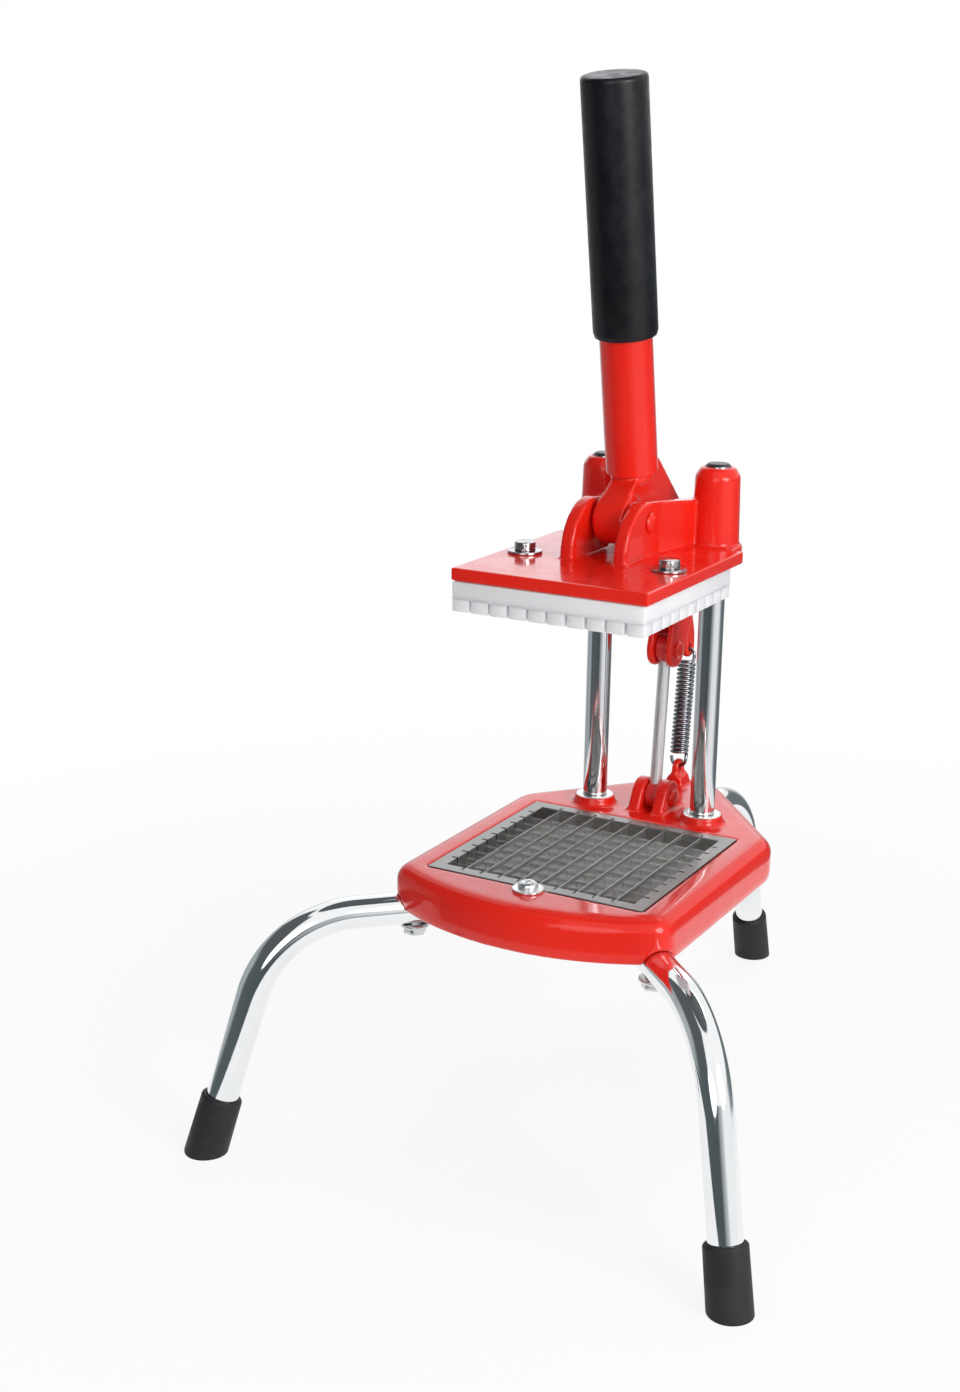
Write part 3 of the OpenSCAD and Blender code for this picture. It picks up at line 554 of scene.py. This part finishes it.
def springRoom():  # what the tail of the arm leaves free, where the stretched spring swings past it
    hole, radius, swing = Vector(springEye["hole"]), springEye["radius"], springEye["swing"]
    last, steps = springEye["last"], springEye["steps"]

    def ray(degrees, length):
        return length * Vector((math.cos(math.radians(degrees)), math.sin(math.radians(degrees))))

    first = swing - math.degrees(math.asin(springEye["room"] / radius))
    line = [hole + ray(first + (last - first) * k / steps, radius) for k in range(steps + 1)]
    line.append(line[-1] + ray(last + 90, radius + springEye["lead"]))
    side, drop = Vector((3 * radius, 0)), Vector((0, springEye["drop"]))
    far = hole + ray(swing, springEye["reach"]) + ray(swing - 90, springEye["room"])
    line += [line[-1] + side, line[-1] + side - drop, far - drop, far]
    count = len(line)
    verts = [at(x, *p) for x in (springEye["left"], springEye["right"]) for p in line]
    faces = [(k, (k + 1) % count, count + (k + 1) % count, count + k) for k in range(count)]
    faces += [tuple(range(count)), tuple(range(count, 2 * count))]
    cutter = newPiece("springRoom", verts, faces)
    reshape(cutter.data, faceOutwards)
    return cutter


baseShell = castSkin("base_casting", "baseShell", **castings["base"])
put(baseShell, "base", "red_enamel", deckEnamel, "base_casting")
headBlock = castSkin("head_casting", "headBlock", **castings["head"])
put(headBlock, "head", "red_enamel", redEnamel, "head_casting")
leverArm = castSkin("lever_arm", "leverArm", **castings["arm"], cutter=springRoom())
put(leverArm, "lever", "red_enamel", redEnamel, "lever_arm")
print("castings:", [len(p.data.polygons) for p in (baseShell, headBlock, leverArm)])


# handle: painted tube and black grip

handle = {"foot": (38.4, 326.0), "lean": 10.6, "tube": 25.4, "wall": 2.0, "length": 183.0, "tubeRound": 0.5,
          "tubeCrease": 40, "grip": 31.0, "gripLength": 119.0, "cap": 3.0, "slack": 0.08, "gripRound": 2.4,
          "gripSides": 96, "gripCrease": 50,
          "mouth": ((0.0, 2.2), (0.45, 0.9), (0.6, 0.0))}  # how far in and up, at the grip's lower end


def makeHandle():
    place = Matrix.Translation(at(0, *handle["foot"])) @ Matrix.Rotation(math.radians(handle["lean"]), 4, "X")
    outer, top = handle["tube"] / 2, handle["length"]
    inner, middle = outer - handle["wall"], top / 2
    ring = rounded([(inner, middle), (inner, 0), (outer, 0), (outer, top), (inner, top), (inner, middle + 1)],
                   handle["tubeRound"])
    tube = shadeSmooth(turned("handleTube", ring, place), handle["tubeCrease"])
    put(tube, "lever", "red_steel", redEnamel, "lever_tube")
    r, end = handle["grip"] / 2, top + handle["cap"]
    low, bore = end - handle["gripLength"], outer + handle["slack"]
    mouth = [(r - inset, low + rise) for inset, rise in handle["mouth"]]
    skin = rounded([(0, end), (r, end), *mouth, (bore, low), (bore, top), (0, top)], handle["gripRound"], 8)
    grip = shadeSmooth(turned("handleGrip", skin, place, handle["gripSides"]), handle["gripCrease"])
    put(grip, "lever", "black_grip", blackVinyl, "lever_grip")


makeHandle()
print("handle done")


# guide posts

def makePosts():
    r, f, c = posts["diameter"] / 2, posts["foot"] / 2, posts["chamfer"]
    low, shoulder, top = posts["low"], posts["shoulder"], posts["top"]
    line = rounded([(0, low), (f, low), (f, shoulder), (r, shoulder), (r, top - c), (r - c, top), (0, top)],
                   posts["edge"], 3)
    for side, name, node in ((-1, "leftPost", "left_post"), (1, "rightPost", "right_post")):
        place = Matrix.Translation(at(side * posts["x"], posts["y"], 0))
        post = shadeSmooth(turned(name, line, place), posts["crease"])
        put(post, "base", "chrome", polishedPost, node)


makePosts()
print("posts done")


# legs and feet

legs = {"tube": 15.9, "wall": 1.5, "level": 118.0, "start": 77.0, "bendAt": 120.3, "bendRadius": 53.0,
        "splay": 16.8, "sides": 56, "crease": 40, "steps": {"top": 6, "bend": 34, "shank": 8},
        "hubs": {"front_left": (0, 7.5, -135), "front_right": (0, 7.5, -45), "rear": (0, 44, 90)}}
feet = {"width": 21.0, "length": 30.0, "floor": 6.0, "slack": 0.08, "spare": 4.0, "round": 2.6,
        "soleRound": 2.2, "sides": 80, "crease": 40,
        "mouth": ((0.4, 1.0), (1.3, 0.0))}  # how far in and down, at the upper end


def legPath():  # in the plane of one leg: distance outwards and height
    splay, r, steps = math.radians(legs["splay"]), legs["bendRadius"], legs["steps"]
    start, bendAt, level = legs["start"], legs["bendAt"], legs["level"]
    low = level - r
    kneeS, kneeZ = bendAt + r * math.cos(splay), low + r * math.sin(splay)
    run = kneeZ / math.cos(splay)
    path = [(start + (bendAt - start) * k / steps["top"], level) for k in range(steps["top"])]
    for k in range(steps["bend"] + 1):
        a = math.pi / 2 - (math.pi / 2 - splay) * k / steps["bend"]
        path.append((bendAt + r * math.cos(a), low + r * math.sin(a)))
    for k in range(1, steps["shank"] + 1):
        along = (run - feet["floor"]) * k / steps["shank"]
        path.append((kneeS + along * math.sin(splay), kneeZ - along * math.cos(splay)))
    return path, kneeS + run * math.sin(splay)


def trimSole(shape):  # cuts the foot off level with the floor and rounds the rim
    everything = shape.verts[:] + shape.edges[:] + shape.faces[:]
    cut = bmesh.ops.bisect_plane(shape, geom=everything, dist=1e-7, plane_co=(0, 0, 0), plane_no=(0, 0, 1),
                                 clear_inner=True)
    rim = [e for e in cut["geom_cut"] if isinstance(e, bmesh.types.BMEdge)]
    bmesh.ops.contextual_create(shape, geom=rim)
    bmesh.ops.bevel(shape, geom=rim, offset=feet["soleRound"] * mm, segments=5, profile=0.5, affect="EDGES",
                    clamp_overlap=True)
    faceOutwards(shape)


def makeLegs():
    path, footS = legPath()
    outer, r, top, floor = legs["tube"] / 2, feet["width"] / 2, feet["length"], feet["floor"]
    bore, low = outer + feet["slack"], -feet["spare"]
    mouth = [(r - inset, top - drop) for inset, drop in feet["mouth"]]
    skin = rounded([(0, low), (r, low), *mouth, (bore, top), (bore, floor), (0, floor)], feet["round"], 6)
    splay = Matrix.Rotation(-math.radians(legs["splay"]), 4, "Y")
    for label, (hubX, hubY, turn) in legs["hubs"].items():
        plane = Matrix.Translation(at(hubX, hubY, 0)) @ Matrix.Rotation(math.radians(turn), 4, "Z")
        run = [plane @ Vector((s * mm, 0, z * mm)) for s, z in path]
        tube = sweep(label + "Leg", run, outer * mm, legs["sides"], (outer - legs["wall"]) * mm)
        shadeSmooth(tube, legs["crease"])
        put(tube, "base", "chrome", chromeTube, label + "_leg")
        place = plane @ Matrix.Translation(Vector((footS * mm, 0, 0))) @ splay
        foot = turned(label + "Foot", skin, place, feet["sides"])
        reshape(foot.data, trimSole)
        shadeSmooth(foot, feet["crease"])
        put(foot, "base", "foot_rubber", footRubber, label + "_foot")


makeLegs()
print("legs done")


# rows and grids of one piece

def copyOnto(points, tree, into, out):  # ends a tree: the incoming piece on every point, with its finish
    link = tree.links.new
    copies = addNode(tree, "GeometryNodeInstanceOnPoints")
    real = addNode(tree, "GeometryNodeRealizeInstances")
    finish = addNode(tree, "GeometryNodeSetMaterial")
    link(points, copies.inputs["Points"])
    link(into.outputs["Geometry"], copies.inputs["Instance"])
    link(copies.outputs["Instances"], real.inputs["Geometry"])
    link(real.outputs["Geometry"], finish.inputs["Geometry"])
    link(into.outputs["Finish"], finish.inputs["Material"])
    link(finish.outputs["Geometry"], out.inputs["Geometry"])
    return tree


def rowTree():  # copies of the incoming piece in a straight row
    tree, into, out = makeTree(
        "GeometryNodeTree", "pieceRow",
        [("Geometry", "NodeSocketGeometry", None), ("Count", "NodeSocketInt", 9),
         ("Start", "NodeSocketVector", (0, 0, 0)), ("Step", "NodeSocketVector", (0.01, 0, 0)),
         ("Finish", "NodeSocketMaterial", None)],
        [("Geometry", "NodeSocketGeometry")])
    row = addNode(tree, "GeometryNodeMeshLine", mode="OFFSET")
    for label, socket in (("Count", "Count"), ("Start", "Start Location"), ("Step", "Offset")):
        tree.links.new(into.outputs[label], row.inputs[socket])
    return copyOnto(row.outputs["Mesh"], tree, into, out)


def gridTree():  # copies of the incoming piece on a square grid
    tree, into, out = makeTree(
        "GeometryNodeTree", "pieceGrid",
        [("Geometry", "NodeSocketGeometry", None), ("Count", "NodeSocketInt", 10),
         ("Width", "NodeSocketFloat", 0.09), ("Middle", "NodeSocketVector", (0, 0, 0)),
         ("Finish", "NodeSocketMaterial", None)],
        [("Geometry", "NodeSocketGeometry")])
    grid = addNode(tree, "GeometryNodeMeshGrid")
    move = addNode(tree, "GeometryNodeTransform")
    for axis in ("X", "Y"):
        tree.links.new(into.outputs["Width"], grid.inputs["Size " + axis])
        tree.links.new(into.outputs["Count"], grid.inputs["Vertices " + axis])
    tree.links.new(grid.outputs["Mesh"], move.inputs["Geometry"])
    tree.links.new(into.outputs["Middle"], move.inputs["Translation"])
    return copyOnto(move.outputs["Geometry"], tree, into, out)


pieceRow = rowTree()
pieceGrid = gridTree()


def repeat(piece, tree, values):
    copies = piece.modifiers.new("copies", "NODES")
    copies.node_group = tree
    for item in tree.interface.items_tree:
        if item.in_out == "INPUT" and item.name in values:
            copies[item.identifier] = values[item.name]
    return settle(piece)


# blades: the middle one of each row, repeated, and the rails round them

blades = {"count": 9, "pitch": 10.0, "edge": 0.12, "edgeAngle": 40, "crease": 25,
          "rails": {"width": 0.3, "above": 138, "angle": 10}}


def makeBladeRow(node, name, axis):
    count, pitch = blades["count"], blades["pitch"] * mm
    middle = gridY if axis else 0.0

    def keepMiddle(shape):
        spare = [v for v in shape.verts if abs(v.co[axis] - middle) > pitch / 2]
        bmesh.ops.delete(shape, geom=spare, context="VERTS")

    piece = mergedCopy(node, name)
    reshape(piece.data, keepMiddle)
    edge = piece.modifiers.new("edge", "BEVEL")
    edge.width = blades["edge"] * mm
    edge.segments = 1
    edge.limit_method = "ANGLE"
    edge.angle_limit = math.radians(blades["edgeAngle"])
    settle(piece)
    step = Vector((0, pitch, 0)) if axis else Vector((pitch, 0, 0))
    start = -step * (count - 1) / 2
    repeat(piece, pieceRow, {"Count": count, "Start": start, "Step": step, "Finish": bladeSteel})
    shadeSmooth(piece, blades["crease"])
    put(piece, "base", "blade_steel", bladeSteel, node)


makeBladeRow("lengthwise_blades", "longBlades", 0)
makeBladeRow("crosswise_blades", "crossBlades", 1)
rails = bevelled("blade_frame", "bladeRails", **blades["rails"])
put(rails, "base", "frame_steel", frameSteel, "blade_frame")
print("blades done")


# pusher: slab with a field of fingers

pusher = {"half": 49.45, "top": 281.0, "low": 266.8, "fingers": 6.0, "sunk": 2.5, "count": 10, "pitch": 10.0,
          "finger": 8.8, "edge": 0.5, "crease": 40}


def roundedBlock(name, low, high, width, segments, sharpLevel=None):  # edges at the sharp level stay square
    def soften(shape):
        soft = [e for e in shape.edges
                if sharpLevel is None or any(abs(v.co.z - sharpLevel) > 1e-6 for v in e.verts)]
        bmesh.ops.bevel(shape, geom=soft, offset=width * mm, segments=segments, profile=0.5, affect="EDGES")

    corners = [(x, y, z) for x in (low[0], high[0]) for y in (low[1], high[1]) for z in (low[2], high[2])]
    faces = [(0, 1, 3, 2), (4, 6, 7, 5), (0, 4, 5, 1), (2, 3, 7, 6), (0, 2, 6, 4), (1, 5, 7, 3)]
    piece = newPiece(name, corners, faces)
    reshape(piece.data, soften)
    return piece


def makePusher():
    half, low, top, edge = pusher["half"], pusher["low"], pusher["top"], pusher["edge"]
    root = low + pusher["fingers"]
    slab = roundedBlock("pusherSlab", at(-half, -half, root), at(half, half, top), edge, 3, root * mm)
    side = pusher["finger"] / 2 * mm
    tip = roundedBlock("pusherFingers", (-side, -side, low * mm), (side, side, (root + pusher["sunk"]) * mm),
                       edge, 2)
    repeat(tip, pieceGrid, {"Count": pusher["count"], "Width": (pusher["count"] - 1) * pusher["pitch"] * mm,
                            "Middle": Vector((0, gridY, 0)), "Finish": whitePlastic})
    for piece in (slab, tip):
        shadeSmooth(piece, pusher["crease"])
        put(piece, "head", "white_plastic", whitePlastic, "pusher_block")


makePusher()
print("pusher done")


# return spring

spring = {"low": (123.5, 151.3), "high": (130.0, 216.3), "x": -5.2, "wire": 1.8, "radius": 4.1, "coils": 23,
          "eye": 2.6, "hookEnd": 80.0, "ease": 30.0, "sides": 12, "crease": 50,
          "steps": {"coil": 28, "hook": 24, "bend": 7}}


def springPath():
    way = Vector(spring["high"]) - Vector(spring["low"])
    length, lean = way.length, math.atan2(way.x, way.y)
    r, start, steps = spring["radius"], spring["radius"] + spring["eye"], spring["steps"]
    pitch = (length - 2 * start) / spring["coils"]
    hookEnd, ease = math.radians(spring["hookEnd"]), math.radians(spring["ease"])

    def hook(t):
        return Vector((r * math.sin(t), 0, r - r * math.cos(t)))

    def coil(a):
        return Vector((r * math.cos(a), r * math.sin(a), start + pitch * a / (2 * math.pi)))

    tail = Vector((-math.cos(hookEnd), 0, math.sin(hookEnd)))
    lower = [hook(-hookEnd) + spring["wire"] * tail]
    lower += [hook(-hookEnd + (math.pi / 2 + hookEnd) * k / steps["hook"]) for k in range(steps["hook"] + 1)]
    first, bend, last = hook(math.pi / 2), Vector((r, 0, start)), coil(ease)
    lower += [bowed(first, bend, last, k / steps["bend"]) for k in range(1, steps["bend"])]
    upper = [Vector((p.x, -p.y, length - p.z)) for p in reversed(lower)]
    turns, count = spring["coils"] * 2 * math.pi, spring["coils"] * steps["coil"]
    middle = [coil(ease + (turns - 2 * ease) * k / count) for k in range(count + 1)]
    place = Matrix.Translation(at(spring["x"], *spring["low"])) @ Matrix.Rotation(-lean, 4, "X")
    return [place @ (p * mm) for p in lower + middle + upper]


def makeSpring():
    coils = sweep("returnSpring", springPath(), spring["wire"] / 2 * mm, spring["sides"])
    shadeSmooth(coils, spring["crease"])
    coils.data.materials.append(springWire)
    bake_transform(coils)
    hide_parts("return_spring")


makeSpring()
print("spring done")


# link and fasteners

linkSkin = {"voxel": 0.36, "rounds": 5}
linkRod = castSkin("link_rod", "linkRod", **linkSkin)
put(linkRod, "link", "chrome", linkSteel, "link_rod")

# body and width of the bevel
plated = {
    "frame_screw": ("base", 0.3), "frame_washer": ("base", 0.25), "post_nuts": ("base", 0.4),
    "leg_bolts": ("base", 0.35), "pivot_clip": ("head", 0.15)}
bright = {"pusher_bolts": ("head", 0.35), "pusher_washers": ("head", 0.25)}
painted = {"link_pin": ("base", 0.3), "pivot_pin": ("head", 0.3), "link_rivets": ("lever", 0.3)}

for group, slotName, material in ((plated, "zinc", zincPlate), (bright, "zinc", boltSteel),
                                  (painted, "red_steel", redEnamel)):
    for node, (body, width) in group.items():
        first, second = node.split("_")
        put(bevelled(node, first + second.capitalize(), width), body, slotName, material, node)
print("fasteners done")


# floor and light

studio = {"ambient": 0.33, "floor": 0.9, "floorHalf": 6.0, "lift": 0.87, "fade": (0.18, 0.75)}


def seenDirectly(tree):  # 1 for the camera's rays and for those that metal and glass pass on
    ray = addNode(tree, "ShaderNodeLightPath")
    seen = ray.outputs["Is Camera Ray"]
    for label in ("Is Glossy Ray", "Is Transmission Ray"):
        either = addNode(tree, "ShaderNodeMath", operation="MAXIMUM")
        tree.links.new(seen, either.inputs[0])
        tree.links.new(ray.outputs[label], either.inputs[1])
        seen = either.outputs[0]
    return seen


def makeFloor():  # white far out, with the object's shadow near it
    half, grey, (near, far) = studio["floorHalf"], studio["floor"], studio["fade"]
    floor = newPiece("floor", [(-half, -half, 0), (half, -half, 0), (half, half, 0), (-half, half, 0)],
                     [(0, 1, 2, 3)])
    material, tree, out = emptyMaterial("paleFloor")
    link = tree.links.new
    matte = addNode(tree, "ShaderNodeBsdfDiffuse", {"Color": (grey, grey, grey, 1)})
    glow = addNode(tree, "ShaderNodeEmission", {"Strength": 1.0})
    where = addNode(tree, "ShaderNodeTexCoord")
    distance = addNode(tree, "ShaderNodeVectorMath", operation="LENGTH")
    fade = addNode(tree, "ShaderNodeMapRange", {
        "From Min": near, "From Max": far, "To Min": studio["lift"], "To Max": 1.0},
        interpolation_type="SMOOTHSTEP")
    share = addNode(tree, "ShaderNodeMath", operation="MULTIPLY")
    mix = addNode(tree, "ShaderNodeMixShader")
    link(where.outputs["Object"], distance.inputs[0])
    link(distance.outputs["Value"], fade.inputs["Value"])
    link(seenDirectly(tree), share.inputs[0])
    link(fade.outputs["Result"], share.inputs[1])
    link(share.outputs[0], mix.inputs["Fac"])
    link(matte.outputs[0], mix.inputs[1])
    link(glow.outputs[0], mix.inputs[2])
    link(mix.outputs[0], out.inputs["Surface"])
    floor.data.materials.append(material)


def makeWorld():
    world = bpy.data.worlds.new("studio")
    bpy.context.scene.world = world
    world.use_nodes = True
    tree = world.node_tree
    tree.nodes.clear()
    out = addNode(tree, "ShaderNodeOutputWorld")
    ground = addNode(tree, "ShaderNodeBackground", {"Color": (1, 1, 1, 1)})
    level = addNode(tree, "ShaderNodeMapRange", {"To Min": studio["ambient"], "To Max": 1.0})
    tree.links.new(seenDirectly(tree), level.inputs["Value"])
    tree.links.new(level.outputs["Result"], ground.inputs["Strength"])
    tree.links.new(ground.outputs[0], out.inputs["Surface"])


# dark and light cards round the set, seen only in reflections

cards = {"sides": 96, "ring": (0.40, 1.7), "low": 0.002, "wall": 0.5,
         "levels": [  # degrees from the right, anticlockwise, and how light the cards are there
             (-180, 0.40), (-158, 0.46), (-136, 0.12), (-68, 0.10), (-48, 0.46), (-30, 0.94), (8, 0.94),
             (28, 0.30), (44, 0.18), (84, 0.18), (104, 0.72), (140, 0.72), (162, 0.42)],
         "rise": {"middle": -145, "half": 55, "slope": 15, "more": 3.2, "shade": 0.11, "soft": 0.3},
         "ceiling": {"radius": 0.42, "level": 1.0, "shade": 0.10, "sides": 48}}


def coolGrey(shade):
    return (shade * 0.85, shade * 0.96, shade, 1)


def wallTop(degrees):  # the wall of cards stands taller on the left
    rise = cards["rise"]
    away = abs((degrees - rise["middle"] + 180) % 360 - 180)
    return cards["wall"] + rise["more"] * min(1.0, max(0.0, (rise["half"] - away) / rise["slope"]))


def hang(card, material):
    card.data.materials.append(material)
    card.visible_camera = False
    card.visible_diffuse = False
    card.visible_shadow = False
    card.visible_transmission = False


def cardMaterial():  # shades that change round the ring, with one dark card above the wall
    material, tree, out = emptyMaterial("flagCard")
    link = tree.links.new
    wall, rise, stops = cards["wall"], cards["rise"], cards["levels"]
    where = addNode(tree, "ShaderNodeTexCoord")
    parts = addNode(tree, "ShaderNodeSeparateXYZ")
    angle = addNode(tree, "ShaderNodeMath", operation="ARCTAN2")
    turn = addNode(tree, "ShaderNodeMapRange", {"From Min": -math.pi, "From Max": math.pi})
    ramp = addNode(tree, "ShaderNodeValToRGB")
    ramp.color_ramp.interpolation = "EASE"
    while len(ramp.color_ramp.elements) < len(stops):
        ramp.color_ramp.elements.new(0.5)
    for element, (degrees, level) in zip(ramp.color_ramp.elements, stops):
        element.position = (degrees + 180) / 360
        element.color = (level ** 1.12, level ** 1.03, level, 1)  # the dark ones lean to blue-green
    upper = addNode(tree, "ShaderNodeMapRange", {"From Min": wall, "From Max": wall + rise["soft"]})
    tall = addNode(tree, "ShaderNodeMix", {mixSockets["second"]: coolGrey(rise["shade"])}, data_type="RGBA")
    glow = addNode(tree, "ShaderNodeEmission")
    link(where.outputs["Object"], parts.inputs[0])
    link(parts.outputs["Y"], angle.inputs[0])
    link(parts.outputs["X"], angle.inputs[1])
    link(angle.outputs[0], turn.inputs["Value"])
    link(turn.outputs["Result"], ramp.inputs["Fac"])
    link(parts.outputs["Z"], upper.inputs["Value"])
    link(upper.outputs["Result"], tall.inputs["Factor"])
    link(ramp.outputs["Color"], tall.inputs[mixSockets["first"]])
    link(tall.outputs[mixSockets["result"]], glow.inputs["Color"])
    link(glow.outputs[0], out.inputs["Surface"])
    return material


def makeFlags():  # a ring on the floor, and a wall round it
    count, (inner, outer), low = cards["sides"], cards["ring"], cards["low"]
    verts, faces = [], []
    for r, wall in ((inner, False), (outer, False), (outer, True)):
        for a in fullTurn(count):
            verts.append((r * math.cos(a), r * math.sin(a), wallTop(math.degrees(a)) if wall else low))
    for start in (0, count):
        for k in range(count):
            j = (k + 1) % count
            faces.append((start + k, start + j, start + count + j, start + count + k))
    hang(newPiece("flags", verts, faces), cardMaterial())


def makeCeiling():
    ceiling = cards["ceiling"]
    r, sides = ceiling["radius"], ceiling["sides"]
    rim = [(r * math.cos(a), r * math.sin(a), ceiling["level"]) for a in fullTurn(sides)]
    material, tree, out = emptyMaterial("ceilingCard")
    glow = addNode(tree, "ShaderNodeEmission", {"Color": coolGrey(ceiling["shade"])})
    tree.links.new(glow.outputs[0], out.inputs["Surface"])
    hang(newPiece("ceilingFlag", rim, [tuple(range(sides))]), material)


# lamps and camera

lamps = {
    "keyLamp": {"place": (1.25, -0.55, 0.75), "aim": (0, 0, 0.2), "size": 0.8, "watts": 13},
    "topLamp": {"place": (0.1, 0.35, 1.5), "aim": (0, 0, 0.2), "size": 0.9, "watts": 6},
    "fillLamp": {"place": (0.25, -1.3, 0.55), "aim": (0, 0, 0.2), "size": 0.8, "watts": 2.4},
    "rearLamp": {"place": (-0.6, 1.15, 0.75), "aim": (0, 0, 0.25), "size": 1.1, "watts": 1.5,
                 "colour": (0.82, 0.90, 1.0)}}
camera = {"place": (0.40659, -0.89755, 0.48415), "azimuth": 28.809, "elevation": 15.749, "roll": 0.968,
          "lens": 51.957, "sensor": 36, "shift": (-0.0049, -0.0004), "near": 0.01}


def makeLamp(name, place, aim, size, watts, colour=(1, 1, 1)):
    lamp = bpy.data.lights.new(name, "AREA")
    lamp.shape = "DISK"
    lamp.size = size
    lamp.energy = watts
    lamp.color = colour
    holder = addObject(name, lamp)
    holder.location = place
    holder.rotation_euler = (Vector(aim) - Vector(place)).to_track_quat("-Z", "Y").to_euler()


def makeCamera():
    a, e, r = (math.radians(camera[k]) for k in ("azimuth", "elevation", "roll"))
    back = Vector((math.sin(a) * math.cos(e), -math.cos(a) * math.cos(e), math.sin(e)))
    right = (-back).cross(Vector((0, 0, 1))).normalized()
    up = right.cross(-back)
    axisX = math.cos(r) * right + math.sin(r) * up
    axisY = -math.sin(r) * right + math.cos(r) * up
    turn = Matrix((axisX, axisY, back)).transposed().to_4x4()
    data = bpy.data.cameras.new("photoView")
    data.sensor_width = camera["sensor"]
    data.lens = camera["lens"]
    data.shift_x, data.shift_y = camera["shift"]
    data.clip_start = camera["near"]
    holder = addObject("photoView", data)
    holder.matrix_world = Matrix.Translation(Vector(camera["place"])) @ turn
    bpy.context.scene.camera = holder


makeFloor()
makeWorld()
makeFlags()
makeCeiling()
for lampName, values in lamps.items():
    makeLamp(lampName, **values)
makeCamera()
bpy.context.scene.view_settings.view_transform = "Standard"
print("studio done")
